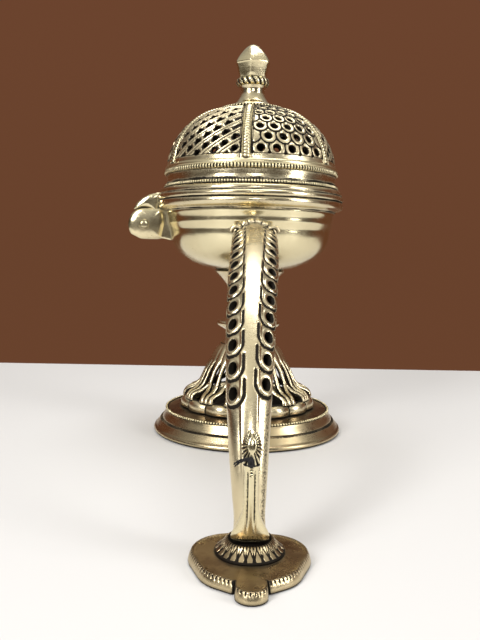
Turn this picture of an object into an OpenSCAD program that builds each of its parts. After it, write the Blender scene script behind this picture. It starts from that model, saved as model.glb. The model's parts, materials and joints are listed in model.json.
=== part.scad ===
// Hand-held brass incense censer: a lidded bowl on a pierced pedestal, with a
// pierced side handle that curves down to its own leaf-shaped foot.
// Millimetres, +Z up. The origin is the centre of the round base's underside.
// The handle runs along -Y and the lid's hinge is on the -X side.

/* [Base and pedestal] */
// Outer radius of the round base
base_r = 56; // [50:0.5:62]
// Height of the lower base disc
flange_h = 7.6; // [6:0.1:9]
// Outer radius of the upper base tier at its foot
tier_r = 51; // [46:0.5:52]
// Height of the top face of the upper base tier at its edge
tier_top = 13.2; // [12:0.1:14]
// Number of ribs in the openwork bell
bell_ribs = 14; // [10:1:18]
// Height of the top of the openwork bell
bell_top = 52; // [50:0.5:54]
// Radius of the disc-shaped knop on the stem
knop_r = 19.1; // [15:0.1:22]

/* [Bowl] */
// Height of the flat underside of the bowl
bowl_bottom = 95.5; // [95:0.1:97]
// Largest radius of the round part of the bowl
bowl_r = 45.6; // [44:0.1:46]
// Wall thickness of the bowl
wall = 1.8; // [1.4:0.1:2.2]
// Outer radius of the bowl's flange
rim_r = 54.2; // [53:0.1:55]
// Height of the seam between bowl and lid
seam_z = 135.5; // [135:0.1:136]

/* [Lid] */
// Radius of the round stretch of the dome's profile
dome_arc = 37; // [36:0.1:38]
// Turn of the first strap away from the handle, in degrees
rib_turn = -4; // [-10:1:10]
// Radius of the disc at the dome's crown
crown_r = 19.5; // [16:0.1:20]
// Height of the finial's tip
tip_z = 226; // [220:0.5:230]

/* [Hinge] */
// Distance of the hinge pin in front of the bowl's axis, along -X
pin_x = 62; // [61:0.1:63]
// Height of the hinge pin
pin_z = 121.6; // [121:0.1:122]
// Radius of the hinge pin
pin_r = 1.6; // [1.4:0.1:1.8]
// Radial running clearance between the pin and the lid's tongue
pin_gap = 0.06; // [0.04:0.01:0.1]

/* [Handle and foot] */
// Distance of the handle's foot from the bowl's axis
foot_y = 183; // [180:1:186]
// Height of the handle's centre line where it leaves the bowl
handle_top = 112; // [110:0.5:113]
// Sideways place of the handle where it leaves the bowl
handle_x = 1.9; // [0:0.1:3]
// Number of pierced scales on each side of the handle
scales = 12; // [8:1:13]
// Thickness of the leaf-shaped foot plate
plate_t = 4.2; // [3.5:0.1:5]

/* [Hidden] */
$fn = 96;
brass = [0.80, 0.74, 0.52];
dark_brass = [0.52, 0.44, 0.28];
pale_brass = [0.88, 0.83, 0.64];
thread_black = [0.05, 0.05, 0.05];
eps = 0.01;
big = 200;

// Heights and radii shared by neighbouring pieces
tier_in_z = 14;               // tier's top face at the bell's foot
foot_ring_top = 21;
foot_ring_r = 40.3;
bolt_r = 3;                   // tie bolt through the whole pedestal
knop_z = [59.5, 67];          // knop's lowest and highest faces
flange_z = 129;               // where the bowl's flange ring starts
seam_gap = 0.3;
band_z = [142, 150];          // plain band of the lid
dome_z = 155;                 // where the dome starts
arc_r0 = 12;                  // centre of the dome's arc, from the axis
arc_z0 = 151;
dome_t = 1.8;
crown_z = 187.5;              // flat that the crown disc sits on
disc_t = 1.5;
collar_z = [202.4, 206.4];    // beaded collar of the finial
stud_r = 2.5;
bud_wide_z = 215.9;
ear = [3.3, 7];               // inner and outer faces of the lug's ears
tongue_half = 3;
head_r = 9.7;                 // round head of the lug
tab_r = 10.1;                 // inner reach of the lid's tab, clear of the lug
collar_r = 12.2;
collar_h = 4.6;
handle_low = 5.7;             // height of the handle's foot in the collar
bolt_y = 64;                  // far end of the handle's bolt
handle_start = 52;

// ---------- shared shapes ----------

// A turned piece from its half outline [[r, z], ...]
module turned(outline) {
    rotate_extrude()
        polygon(outline);
}

// A turned ring with a rounded outer edge between two heights
module round_edge_ring(r_in, r_out, z0, z1) {
    h = z1 - z0;
    rotate_extrude() {
        translate([r_in, z0])
            square([r_out - h / 2 - r_in, h]);
        intersection() {
            translate([r_out - h / 2, z0 + h / 2])
                circle(r = h / 2);
            translate([r_out - h / 2, z0])
                square([h, h]);
        }
    }
}

// Turns and carries children from the front of the piece to azimuth a
module at_azimuth(a) {
    rotate([0, 0, a])
        children();
}

// A closed skin over rings of points, each ring with the same number of points
// and turning clockwise as seen from the end that the rings run towards
module skin(rings) {
    n = len(rings[0]);
    m = len(rings);
    points = [for (ring = rings) for (p = ring) p];
    sides = [for (i = [0:m - 2]) for (j = [0:n - 1])
        [i * n + j, i * n + (j + 1) % n, (i + 1) * n + (j + 1) % n, (i + 1) * n + j]];
    first = [for (j = [n - 1:-1:0]) j];
    last = [for (j = [0:n - 1]) (m - 1) * n + j];
    polyhedron(points, concat([first], sides, [last]), convexity = 6);
}

// ---------- base ----------

module base_flange() {
    color(brass)
        turned([[47, 0], [54.4, 0], [base_r - 0.4, 0.6], [base_r, 1.6], [base_r - 0.4, 2.8],
                [54.6, 3.4], [52, flange_h - 0.4], [51.4, flange_h], [44, flange_h],
                [44, flange_h - 2], [46.4, flange_h - 2.4]]);
}

module base_tier() {
    color(brass)
        turned([[45, flange_h], [tier_r, flange_h], [50.6, 8.6], [49, 11.4], [48.6, tier_top - 0.6],
                [47.4, tier_top], [foot_ring_r, tier_in_z], [bolt_r, tier_in_z],
                [bolt_r, tier_in_z - 2.2], [44.4, tier_top - 2.2]]);
}

module base_bead_ring() {
    color(pale_brass)
        turned([[47.6, tier_top - 0.08], [48.9, tier_top - 0.6], [49, tier_top - 0.1],
                [48.7, tier_top + 0.5], [48, tier_top + 0.6]]);
}

// Ring with round lobes that the bell's ribs stand on
module bell_foot_ring() {
    inner_r = 33;
    lobe_r = 3.4;
    lobe_at = foot_ring_r - lobe_r;
    lobe_h = 5.2;
    color(brass) {
        translate([0, 0, tier_in_z])
            linear_extrude(height = lobe_h)
                difference() {
                    union() {
                        circle(r = foot_ring_r - 1.2);
                        for (i = [0:bell_ribs - 1])
                            rotate([0, 0, i * 360 / bell_ribs - 90])
                                translate([lobe_at, 0])
                                    circle(r = lobe_r);
                    }
                    circle(r = inner_r);
                }
        translate([0, 0, tier_in_z + lobe_h])
            linear_extrude(height = foot_ring_top - tier_in_z - lobe_h)
                difference() {
                    circle(r = foot_ring_r - 2.2);
                    circle(r = inner_r);
                }
    }
}

// Outer radius of the bell at its own profile points
bell_out = [[16.6, bell_top], [20.3, 46.6], [24.5, 38.8], [26.7, 34], [28.9, 29.2],
            [32, 26.4], [36.4, 25], [38.6, 23.2], [39, foot_ring_top]];
bell_in = [[35.4, foot_ring_top], [34.8, 22.4], [31, 24.2], [27, 27.6], [24.6, 33.2],
           [22.4, 38], [18.2, 45.6], [13.4, bell_top - 2.4], [bolt_r, bell_top - 2.4],
           [bolt_r, bell_top]];

// Tapered opening between two ribs, seen along the radius
module bell_window() {
    rotate([90, 0, 0])
        linear_extrude(height = 60)
            polygon([[-1, 41], [1, 41], [2.8, 28.5], [4.6, 23.6], [-4.6, 23.6], [-2.8, 28.5]]);
}

module openwork_bell() {
    color(brass)
        difference() {
            turned(concat(bell_out, bell_in));
            for (i = [0:bell_ribs - 1])
                at_azimuth((i + 0.5) * 360 / bell_ribs)
                    bell_window();
        }
}

// ---------- stem ----------

module stem_collar() {
    color(brass)
        turned([[bolt_r, bell_top], [16.6, bell_top], [15.6, 53.4], [11.4, 55], [10, 57],
                [10.4, 58.6], [12.6, knop_z[0]], [bolt_r, knop_z[0]]]);
}

module stem_knop() {
    color(brass)
        turned([[bolt_r, knop_z[0]], [12.6, knop_z[0]], [18.4, 63], [knop_r, 64.2],
                [18.4, 65.6], [11, knop_z[1]], [bolt_r, knop_z[1]]]);
}

module stem_flare() {
    color(brass)
        turned([[bolt_r, knop_z[1]], [10.6, knop_z[1]], [9.4, 70], [9, 76], [10.2, 80.4],
                [12.2, 84.6], [15, 89], [18, 92.2], [21.4, bowl_bottom], [bolt_r, bowl_bottom]]);
}

// Long bolt from inside the bowl down to the nut under the base
module tie_bolt() {
    floor_z = bowl_bottom + wall;
    color(dark_brass) {
        translate([0, 0, 6])
            cylinder(r = bolt_r, h = floor_z - 6);
        translate([0, 0, floor_z])
            cylinder(r = 6, h = 1.4);
        translate([0, 0, floor_z + 1.4])
            intersection() {
                translate([0, 0, -7])
                    sphere(r = 9);
                cylinder(r = 6, h = 3);
            }
    }
}

module tie_washer() {
    washer_top = tier_top - 2.2;
    color(dark_brass)
        translate([0, 0, washer_top - 1.2])
            difference() {
                cylinder(r = 8, h = 1.2);
                translate([0, 0, -1])
                    cylinder(r = bolt_r, h = 4);
            }
}

module tie_nut() {
    nut_top = tier_top - 3.4;
    color(dark_brass)
        translate([0, 0, nut_top - 3])
            difference() {
                cylinder(r = 5.8, h = 3, $fn = 6);
                translate([0, 0, -1])
                    cylinder(r = bolt_r, h = 5);
            }
}

// ---------- bowl ----------

// Round part of the bowl: a squarish ellipse, offset inwards by t
bowl_mid = 119;
function bowl_point(a, t) = let (n = 2 / 2.4)
    [(bowl_r - t) * pow(cos(a), n), bowl_mid - (24 - t) * pow(sin(a), n)];
bowl_steps = 9;
bowl_side = [for (i = [0:bowl_steps]) bowl_point(i * 64 / bowl_steps, 0)];
bowl_inner = [for (i = [bowl_steps:-1:0]) bowl_point(i * 64 / bowl_steps, wall)];

// Bowl's outside and everything within it, used to fit neighbours to the wall
module bowl_envelope(extra = 0) {
    rotate_extrude()
        polygon(concat([[0, flange_z], [49.4 + extra, flange_z], [48.9 + extra, 126.8],
                        [48.3 + extra, 125], [48.3 + extra, 122.8], [47.6 + extra, 121.6]],
                       [for (p = bowl_side) p + [extra, 0]],
                       [[20, bowl_bottom], [0, bowl_bottom]]));
}

module bowl() {
    color(pale_brass)
        difference() {
            turned(concat([[46.4, flange_z], [49.4, flange_z], [48.9, 126.8], [48.3, 125],
                           [48.3, 122.8], [47.6, 121.6]],
                          bowl_side,
                          [[20, bowl_bottom], [bolt_r, bowl_bottom],
                           [bolt_r, bowl_bottom + wall], [18, bowl_bottom + wall]],
                          bowl_inner,
                          [[45, 122], [46.4, 124]]));
            translate([handle_x, 0, handle_top])
                rotate([90, 0, 0])
                    cylinder(r = stud_r, h = 60);
        }
}

module bowl_flange() {
    top = seam_z - seam_gap;
    color(brass)
        turned([[46.4, flange_z], [49.4, flange_z], [50, 130.4], [rim_r - 0.9, 131.2],
                [rim_r - 0.3, 132], [rim_r, 133.4], [rim_r - 0.3, 134.6], [rim_r - 0.8, top],
                [46.4, top]]);
}

// ---------- hinge ----------

// Side outline of the lug, seen along the pin: a round head drawn out to the bowl's wall
module lug_outline() {
    head = [for (a = [90:10:220]) [-pin_x + head_r * cos(a), pin_z + head_r * sin(a)]];
    polygon(concat(head, [[-50, 114.2], [-38, 112.5], [-38, 130.9], [-50, 130.9]]));
}

module hinge_lug() {
    color(pale_brass)
        difference() {
            translate([0, ear[1], 0])
                rotate([90, 0, 0])
                    linear_extrude(height = 2 * ear[1])
                        lug_outline();
            bowl_envelope();
            translate([0, 0, flange_z])
                cylinder(r = rim_r + 0.05, h = 12);
            translate([-pin_x - 20, -ear[0], pin_z - 20])
                cube([20 + 5.6, 2 * ear[0], 40]);
            translate([-pin_x, 20, pin_z])
                rotate([90, 0, 0])
                    cylinder(r = pin_r, h = 40);
        }
}

// Riveted pin with a low domed head on each side
module hinge_pin() {
    color(dark_brass)
        translate([-pin_x, 0, pin_z])
            rotate([90, 0, 0]) {
                translate([0, 0, -ear[1]])
                    cylinder(r = pin_r, h = 2 * ear[1]);
                for (side = [0, 1])
                    mirror([0, 0, side])
                        translate([0, 0, ear[1]])
                            intersection() {
                                translate([0, 0, -3])
                                    sphere(r = 4.2);
                                cylinder(r = 3, h = 2);
                            }
            }
}

// Lid's half of the hinge: a tab over the lug with a tongue between its ears
module lid_tongue() {
    tab_low = [-pin_x - 6.6, pin_z + 8.3];
    color(pale_brass)
        difference() {
            union() {
                translate([0, ear[1], 0])
                    rotate([90, 0, 0])
                        linear_extrude(height = 2 * ear[1])
                            difference() {
                                polygon([tab_low, [-pin_x - 4.6, 133.6], [-pin_x - 1.4, 136.6],
                                         [-pin_x + 2.6, 138.8], [-53, 140.4], [-50, 140.4],
                                         [-50, seam_z], [-rim_r - 0.4, seam_z],
                                         [-rim_r - 0.4, 132.8], [-57, 132.4]]);
                                translate([-pin_x, pin_z])
                                    circle(r = tab_r);
                            }
                translate([0, tongue_half, 0])
                    rotate([90, 0, 0])
                        linear_extrude(height = 2 * tongue_half) {
                            translate([-pin_x, pin_z])
                                circle(r = 5);
                            translate([-pin_x - 4, pin_z])
                                square([8.6, 11.6]);
                        }
            }
            translate([0, 0, seam_z - eps])
                cylinder(r = rim_r, h = 20);
            translate([-pin_x, 20, pin_z])
                rotate([90, 0, 0])
                    cylinder(r = pin_r + pin_gap, h = 40);
        }
}

// ---------- handle ----------

// Centre line: a quarter of an ellipse, t from 0 at the bowl to 90 at the foot, with the
// slight sideways bow of a hand-bent casting
handle_len = foot_y - 47;
function handle_bow(t) = handle_x * (0.27 + 0.73 * cos(2.8 * t));
function handle_mid(t) =
    [handle_bow(t), -47 - handle_len * sin(t),
     handle_low + (handle_top - handle_low) * cos(t)];
function handle_out(t) = let (d = [-sin(t) / handle_len,
                                   cos(t) / (handle_top - handle_low)])
    [0, d[0], d[1]] / norm(d);
// Half width and half depth of the section along the handle
function half_w(t) = 11.4 - 7 * pow(t / 90, 2.2);
function half_d(t) = 8.6 - 3.9 * pow(t / 90, 1.6);
function handle_ring(t, t_wall, sides) = [for (j = [0:sides - 1]) let (a = 360 * j / sides)
    handle_mid(t) + [(half_w(t) - t_wall) * sin(a), 0, 0]
                  + handle_out(t) * (half_d(t) - t_wall) * cos(a)];
handle_sides = 20;
handle_wall = 2;

module handle() {
    hole_r = 1.7;
    color(brass)
        difference() {
            skin([for (t = [2:4:90]) handle_ring(t, 0, handle_sides)]);
            skin([for (t = [14:5:69]) handle_ring(t, handle_wall, handle_sides)]);
            translate([0, -handle_start, 0])
                translate([-big / 2, 0, 0])
                    cube([big, big, big]);
            translate([handle_x, 0, handle_top])
                rotate([90, 0, 0])
                    cylinder(r = stud_r, h = bolt_y);
            translate([0, -foot_y, 0])
                cylinder(r = 1.6, h = 14);
            for (i = [0:scales - 1])
                for (side = [-1, 1])
                    let (t = 15 + i * 4.4, out = handle_out(t))
                        translate(handle_mid(t))
                            rotate([90 - atan2(out[2], -out[1]), 0, 0])
                                rotate([0, 0, side * 42])
                                    rotate([0, 90 * side, 0])
                                        cylinder(r = hole_r, h = 16);
        }
}

// Boss between the bowl's wall and the handle
module handle_crown() {
    color(brass)
        difference() {
            translate([handle_x, 0, handle_top])
                rotate([90, 0, 0])
                    cylinder(r = 11.8, h = handle_start);
            bowl_envelope();
            translate([handle_x, 0, handle_top])
                rotate([90, 0, 0])
                    cylinder(r = stud_r, h = bolt_y);
        }
}

// Bolt from inside the bowl into the handle
module handle_bolt() {
    head_y = 40.5;
    head_r = 3.6;
    color(dark_brass)
        translate([handle_x, 0, handle_top])
            rotate([90, 0, 0]) {
                translate([0, 0, head_y - 2])
                    cylinder(r = stud_r, h = bolt_y - head_y + 2);
                translate([0, 0, head_y - 2])
                    cylinder(r = head_r, h = 2);
            }
}

// Upright curl in front of the handle's lower end
spur_route = [[-187, 13], [-190, 18], [-192, 24], [-192.6, 30], [-192.2, 35], [-191.4, 38.4]];
spur_half = [3.8, 3.4, 2.6, 2.3, 2.6, 3.2];
module handle_spur() {
    head_z = 43;
    color(pale_brass)
        difference() {
            union() {
                skin([for (i = [0:len(spur_route) - 1]) [for (j = [0:11]) let (a = 30 * j)
                    [-spur_half[i] * sin(a), spur_route[i][0] - 2.2 * cos(a), spur_route[i][1]]]]);
                hull() {
                    translate([0, -191, head_z - 2.6])
                        sphere(r = 3.4, $fn = 24);
                    translate([0, -191.4, head_z + 1.6])
                        sphere(r = 3.2, $fn = 24);
                }
            }
            skin([for (t = [50:4:90]) handle_ring(t, -0.02, handle_sides)]);
        }
}

// Black thread tied round the spur's neck, with its knot and two short ends
module thread_tie() {
    thread_r = 0.45;
    neck = [0, -192.2, 36.4];
    loop_r = 3.5;
    color(thread_black)
        translate(neck) {
            rotate_extrude()
                translate([loop_r, 0])
                    circle(r = thread_r);
            translate([0, -loop_r - 0.6, 0])
                sphere(r = 1.3);
            for (drop = [0, 14])
                translate([-0.9, -loop_r - 0.8, -0.2])
                    rotate([0, -90 - drop, 14])
                        cylinder(r = thread_r, h = 5);
        }
}

// ---------- foot ----------

module foot_collar() {
    color(dark_brass)
        translate([0, -foot_y, plate_t])
            turned([[1.6, 0], [collar_r, 0], [collar_r - 0.6, 1.2], [collar_r - 3.4, collar_h - 1],
                    [collar_r - 4.2, collar_h], [5.6, collar_h - 1.4], [4.9, 1.4], [1.6, 1.4]]);
}

// Leaf outline of the foot plate: round shoulders, straight sides and a round lobe
module plate_outline() {
    lobe_x = 0.4;
    lobe_y = -25.2;
    lobe_r = 5.4;
    difference() {
        union() {
            hull() {
                for (side = [-1, 1]) {
                    translate([6.2 * side, 0.5])
                        circle(r = 15);
                    translate([3.5 * side, -8])
                        circle(r = 14.5);
                }
                translate([0, -20.5])
                    circle(r = 5.6);
            }
            translate([lobe_x, lobe_y])
                circle(r = lobe_r);
        }
        for (side = [-1, 1])
            translate([lobe_x + 5.8 * side, lobe_y + 0.5])
                circle(r = 0.7);
    }
}

module foot_plate() {
    color(dark_brass)
        translate([0, -foot_y, 0])
            difference() {
                linear_extrude(height = plate_t)
                    plate_outline();
                translate([0, 0, -1])
                    cylinder(r = 1.6, h = 10);
                translate([0, 0, -1])
                    cylinder(r = 3.4, h = 2.6);
            }
}

module foot_screw() {
    color(dark_brass)
        translate([0, -foot_y, 0]) {
            translate([0, 0, 0.2])
                cylinder(r = 3.4, h = 1.4);
            translate([0, 0, 1.6])
                cylinder(r = 1.6, h = 11);
        }
}

// ---------- lid ----------

module lid_flange() {
    color(brass)
        turned([[46.4, seam_z], [rim_r - 0.6, seam_z], [rim_r, 136.4], [rim_r, 137.8],
                [53.2, 138.8], [53.5, 139.8], [53, 141.2], [51.8, band_z[0]], [46.4, band_z[0]]]);
}

module lid_lower_bead_ring() {
    color(pale_brass)
        turned([[49.6, band_z[0]], [51.4, band_z[0]], [51.6, 143], [51.2, 144.2],
                [50.4, 144.6], [49.6, 144.5]]);
}

module lid_band() {
    color(brass)
        turned([[46.4, band_z[0]], [49.6, band_z[0]], [49.6, 144.5], [49.2, 147], [49.4, band_z[1]],
                [46.4, band_z[1]]]);
}

module lid_upper_bead_ring() {
    color(pale_brass)
        turned([[46.4, band_z[1]], [49.8, band_z[1]], [50.6, 151], [50.7, 152.6], [50, 154.2],
                [49.4, dome_z], [46.4, dome_z]]);
}

// Point on the dome's outside at elevation e and azimuth a, both in degrees
function dome_point(e, a) = let (r = arc_r0 + dome_arc * cos(e))
    [r * sin(a), -r * cos(a), arc_z0 + dome_arc * sin(e)];

// Carries children to the dome's surface, their +Z along its outward normal
module on_dome(e, a) {
    translate(dome_point(e, a))
        rotate([0, 0, a])
            rotate([90 - e, 0, 0])
                children();
}

// Hole rows as [elevation, holes, hole radius]
scale_rows = [[15.5, 5, 2.1], [26.5, 4, 2], [36.5, 4, 1.9], [45.5, 3, 1.7], [53.5, 3, 1.5],
              [61, 2, 1.3]];
lattice_rows = [[11, 4, 1.7], [19, 5, 1.7], [27, 4, 1.6], [35, 5, 1.5], [43, 4, 1.4], [51, 3, 1.3],
                [59, 2, 1.2]];
dome_ribs = 6;                // straps, with one chased panel after each
panel = 360 / dome_ribs;

module dome_holes(rows, mid, spread) {
    for (row = rows)
        for (i = [0:row[1] - 1])
            on_dome(row[0], mid + (i - (row[1] - 1) / 2) * spread * (1 + 0.012 * row[0]))
                translate([0, 0, -5])
                    cylinder(r = row[2], h = 8, $fn = 24);
}

// One pierced panel of the dome: rows of scales on odd panels, slanting bars on even ones
module lid_dome(k) {
    scaled = k % 2 == 1;
    color(brass)
        difference() {
            rotate([0, 0, rib_turn + (k - 1) * panel - 90])
                rotate_extrude(angle = panel)
                    difference() {
                        intersection() {
                            union() {
                                translate([arc_r0, arc_z0])
                                    circle(r = dome_arc);
                                translate([0, dome_z])
                                    square([arc_r0, arc_z0 + dome_arc - dome_z]);
                            }
                            translate([stud_r, dome_z])
                                square([60, crown_z - dome_z]);
                        }
                        translate([arc_r0, arc_z0])
                            circle(r = dome_arc - dome_t);
                        translate([-1, 0])
                            square([arc_r0 + 1, arc_z0 + dome_arc - dome_t]);
                    }
            dome_holes(scaled ? scale_rows : lattice_rows, rib_turn + (k - 0.5) * panel,
                       scaled ? 9.6 : 9.2);
        }
}

// Beaded strap over the dome, from the upper bead ring to the crown disc
strap_t = 1.2;
strap_w = 4.4;
module lid_strap(k) {
    foot_e = 9;
    head_x = crown_r + 0.4;
    color(pale_brass)
        rotate([0, 0, rib_turn + (k - 1) * panel])
            intersection() {
                rotate_extrude()
                    difference() {
                        intersection() {
                            translate([arc_r0, arc_z0])
                                circle(r = dome_arc + strap_t);
                            translate([head_x, arc_z0 + dome_arc * sin(foot_e)])
                                square([60, 60]);
                        }
                        translate([arc_r0, arc_z0])
                            circle(r = dome_arc);
                    }
                translate([-strap_w / 2, -70, 0])
                    cube([strap_w, 70, 200]);
            }
}

module crown_disc() {
    color(brass)
        round_edge_ring(stud_r, crown_r, crown_z, crown_z + disc_t);
}

module finial_stem() {
    foot_z = crown_z + disc_t;
    color(brass)
        turned([[stud_r, foot_z], [12.2, foot_z], [12.4, 190.2], [11.6, 191.4], [9.4, 192.8],
                [7.6, 195], [6.5, 197.6], [6.5, 200.2], [7.4, 201.8], [7.8, collar_z[0]],
                [stud_r, collar_z[0]]]);
}

module finial_bead_collar() {
    color(pale_brass)
        round_edge_ring(stud_r, 9.4, collar_z[0], collar_z[1]);
}

// Six-sided bud with a corner towards the handle, on the stud that holds the lid's top
module finial_bud() {
    corner = 1 / cos(30);
    ring_at = function (r, z)
        [for (j = [0:5]) [-r * corner * sin(60 * j), -r * corner * cos(60 * j), z]];
    color(pale_brass) {
        skin([ring_at(7.2, collar_z[1]), ring_at(7.4, 209), ring_at(9.7, bud_wide_z),
              ring_at(7, 220), ring_at(4, tip_z - 2.4), ring_at(1.6, tip_z - 0.4),
              ring_at(0.6, tip_z)]);
        translate([0, 0, 180])
            cylinder(r = stud_r, h = collar_z[1] + 2 - 180);
    }
}

module finial_nut() {
    nut_top = arc_z0 + dome_arc - dome_t;
    color(dark_brass)
        translate([0, 0, nut_top - 3])
            difference() {
                cylinder(r = 5, h = 3, $fn = 6);
                translate([0, 0, -1])
                    cylinder(r = stud_r, h = 5);
            }
}

base_flange();
base_tier();
base_bead_ring();
bell_foot_ring();
openwork_bell();
stem_collar();
stem_knop();
stem_flare();
tie_bolt();
tie_washer();
tie_nut();
bowl();
bowl_flange();
hinge_lug();
hinge_pin();
handle_crown();
handle();
handle_bolt();
handle_spur();
thread_tie();
foot_collar();
foot_plate();
foot_screw();
lid_flange();
lid_lower_bead_ring();
lid_band();
lid_upper_bead_ring();
lid_dome(1);  // lid_dome_1
lid_dome(2);  // lid_dome_2
lid_dome(3);  // lid_dome_3
lid_dome(4);  // lid_dome_4
lid_dome(5);  // lid_dome_5
lid_dome(6);  // lid_dome_6
lid_strap(1);  // lid_strap_1
lid_strap(2);  // lid_strap_2
lid_strap(3);  // lid_strap_3
lid_strap(4);  // lid_strap_4
lid_strap(5);  // lid_strap_5
lid_strap(6);  // lid_strap_6
crown_disc();
finial_stem();
finial_bead_collar();
finial_bud();
finial_nut();
lid_tongue();
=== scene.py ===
"""Looks of a hand-held brass incense censer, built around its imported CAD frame.

Lengths below are millimetres in the row frame; meshes are scaled to metres when they are made.
Azimuths run from the handle's side (-Y) towards +X.
"""
import json
import math

import bpy
import numpy as np
from mathutils import Matrix, Vector


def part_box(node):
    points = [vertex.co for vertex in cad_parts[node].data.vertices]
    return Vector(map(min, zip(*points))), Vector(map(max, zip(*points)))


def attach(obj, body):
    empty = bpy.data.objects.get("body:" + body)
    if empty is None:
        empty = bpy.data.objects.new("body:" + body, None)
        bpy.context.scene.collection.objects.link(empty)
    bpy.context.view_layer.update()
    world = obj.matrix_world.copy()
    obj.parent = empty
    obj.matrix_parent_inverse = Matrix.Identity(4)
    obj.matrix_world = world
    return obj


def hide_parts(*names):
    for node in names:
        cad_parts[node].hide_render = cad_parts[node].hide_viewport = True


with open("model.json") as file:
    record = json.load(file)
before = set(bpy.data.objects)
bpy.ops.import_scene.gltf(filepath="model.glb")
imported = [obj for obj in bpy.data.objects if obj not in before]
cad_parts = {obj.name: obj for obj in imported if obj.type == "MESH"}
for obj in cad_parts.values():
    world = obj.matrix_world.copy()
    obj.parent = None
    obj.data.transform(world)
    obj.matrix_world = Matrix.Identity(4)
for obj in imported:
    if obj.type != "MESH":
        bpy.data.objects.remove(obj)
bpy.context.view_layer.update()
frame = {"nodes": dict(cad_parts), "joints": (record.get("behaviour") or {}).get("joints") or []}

MM = 0.001
TAU = 2 * math.pi


def foot_of(node):
    """Height of a CAD node's lowest point, in mm."""
    return round(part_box(node)[0][2] / MM, 2)


def top_of(node):
    """Height of a CAD node's highest point, in mm."""
    return round(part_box(node)[1][2] / MM, 2)


# Heights at which one casting sits on the next
FLANGE_TOP, TIER_FACE = top_of("base_flange"), top_of("base_tier")
COLLAR_FOOT, KNOP_FOOT, FLARE_FOOT = foot_of("stem_collar"), foot_of("stem_knop"), foot_of("stem_flare")
BOWL_FOOT, BOWL_TOP, BOWL_RIM = foot_of("bowl"), top_of("bowl"), top_of("bowl_flange")
SEAM, BAND_FOOT, BAND_TOP = foot_of("lid_flange"), foot_of("lid_band"), top_of("lid_band")
DOME_BASE, DISC_FOOT = top_of("lid_upper_bead_ring"), foot_of("crown_disc")
STEM_FOOT, BUD_TIP = foot_of("finial_stem"), top_of("finial_bud")
PLATE_T, HANDLE_LOW = top_of("foot_plate"), foot_of("handle")

# The foot screw's distance in front of the axis, and the hinge pin's axis
FOOT_Y = round(-(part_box("foot_collar")[0][1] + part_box("foot_collar")[1][1]) / 2 / MM, 2)
PIN_X, _, PIN_Z = (round(value / MM, 2) for value in frame["joints"][0]["pos_m"])


# ---------- camera, light and floor ----------

def shown(name, data):
    """A new object in the scene that holds the data."""
    obj = bpy.data.objects.new(name, data)
    bpy.context.scene.collection.objects.link(obj)
    return obj


def make_camera():
    """The photograph's viewpoint: level with the lid's seam, looking down the handle."""
    data = bpy.data.cameras.new("camera")
    data.lens = 38.4
    camera = shown("camera", data)
    pitch, roll, yaw = 0.0973, 0.0169, 0.0027
    eye = (-0.0040, -0.4088, 0.1056)
    turn = (Matrix.Rotation(yaw, 4, "Z") @ Matrix.Rotation(math.pi / 2 - pitch, 4, "X")
            @ Matrix.Rotation(roll, 4, "Z"))
    camera.matrix_world = Matrix.Translation(eye) @ turn
    bpy.context.scene.camera = camera


def make_light(name, place, aim, size, power, tint=(1, 1, 1)):
    """A square soft box at a place, turned towards a point."""
    data = bpy.data.lights.new(name, "AREA")
    data.shape = "RECTANGLE"
    data.size, data.size_y = size
    data.energy = power
    data.color = tint
    light = shown(name, data)
    light.location = place
    light.rotation_euler = (Vector(aim) - Vector(place)).to_track_quat("-Z", "Y").to_euler()


def make_world():
    """A brown wall behind the part, a dim room in front of it and a pale ceiling."""
    world = bpy.data.worlds.new("studio")
    bpy.context.scene.world = world
    world.use_nodes = True
    nodes, links = world.node_tree.nodes, world.node_tree.links
    coords = nodes.new("ShaderNodeTexCoord")
    split = nodes.new("ShaderNodeSeparateXYZ")
    links.new(coords.outputs["Generated"], split.inputs[0])

    def ramp(source, *stops):
        """A colour ramp over a source, from (place, colour) stops."""
        node = nodes.new("ShaderNodeValToRGB")
        links.new(source, node.inputs[0])
        for k, (place, colour) in enumerate(stops):
            stop = node.color_ramp.elements[k] if k < 2 else node.color_ramp.elements.new(place)
            stop.position, stop.color = place, (*colour, 1)
        return node.outputs[0]

    wall = ramp(split.outputs["Z"], (0.0, (0.140, 0.055, 0.026)), (0.40, (0.150, 0.058, 0.028)),
                (0.62, (0.36, 0.35, 0.33)))
    room = ramp(split.outputs["Z"], (0.0, (0.10, 0.085, 0.07)), (0.30, (0.045, 0.038, 0.032)),
                (0.62, (0.36, 0.35, 0.33)), (0.90, (0.80, 0.78, 0.72)))
    side = nodes.new("ShaderNodeMapRange")
    links.new(split.outputs["Y"], side.inputs["Value"])
    side.inputs["From Min"].default_value, side.inputs["From Max"].default_value = -0.1, 0.35
    blend = nodes.new("ShaderNodeMix")
    blend.data_type = "RGBA"
    links.new(side.outputs["Result"], blend.inputs[0])
    links.new(room, blend.inputs[6])
    links.new(wall, blend.inputs[7])
    links.new(blend.outputs[2], nodes["Background"].inputs["Color"])


def make_floor():
    """A pale table top with a straight back edge behind the part."""
    mesh = bpy.data.meshes.new("floor")
    left, right, front, back = -0.75, 0.75, -0.62, 0.222
    mesh.from_pydata([(left, front, 0), (right, front, 0), (right, back, 0), (left, back, 0)],
                     [], [(0, 1, 2, 3)])
    floor = shown("floor", mesh)
    material = bpy.data.materials.new("floor")
    material.use_nodes = True
    shader = material.node_tree.nodes["Principled BSDF"]
    shader.inputs["Base Color"].default_value = (0.72, 0.71, 0.70, 1)
    shader.inputs["Roughness"].default_value = 0.6
    mesh.materials.append(material)


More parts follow.
